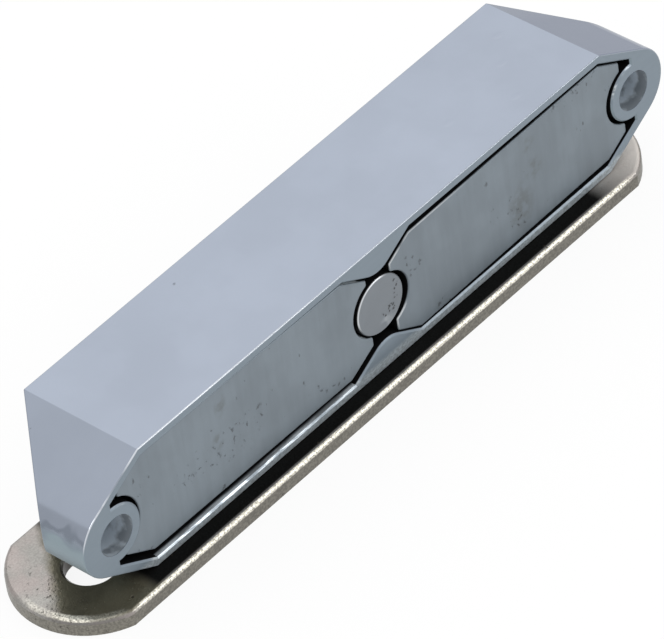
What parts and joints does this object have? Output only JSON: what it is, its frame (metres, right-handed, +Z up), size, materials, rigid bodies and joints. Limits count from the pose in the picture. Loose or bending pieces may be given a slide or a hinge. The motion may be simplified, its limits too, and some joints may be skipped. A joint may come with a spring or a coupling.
{
  "type": "magnetic catch",
  "caption": "Long plated magnetic catch with two loose pole plates in its face, a round post between them and screw lugs at its ends, standing on its flat strike plate.",
  "frame": {"origin": "on the strike plate's underside, straight below the middle of the housing's length and depth", "axes": "+X along the catch, -Y out of the pole face, +Z up from the surface it stands on"},
  "size_m": [0.0984, 0.0187, 0.0191],
  "materials": {
    "housing_plating": "bright chrome plating over a die casting, a little dulled",
    "pole_plating": "chrome-plated steel, satin, with fine pits",
    "post_steel": "turned steel, satin, pitted at the rim",
    "yoke_steel": "bare mild steel",
    "magnet_ceramic": "ground ceramic magnet, matt",
    "strike_nickel": "nickel-plated steel, worn and pitted"
  },
  "bodies": {
    "catch": {"housing": "housing_plating", "center_post": "post_steel", "yoke_plate": "yoke_steel", "magnet_left": "magnet_ceramic", "magnet_right": "magnet_ceramic", "strike_plate": "strike_nickel"},
    "left_pole": {"pole_plate_left": "pole_plating"},
    "right_pole": {"pole_plate_right": "pole_plating"}
  },
  "joints": [
    {"name": "left_pole_float", "type": "slide", "parent": "catch", "child": "left_pole", "axis": [0, 0, 1], "range_m": [-0.00066, 0]},
    {"name": "right_pole_float", "type": "slide", "parent": "catch", "child": "right_pole", "axis": [0, 0, 1], "range_m": [0, 0.0003]}
  ]
}
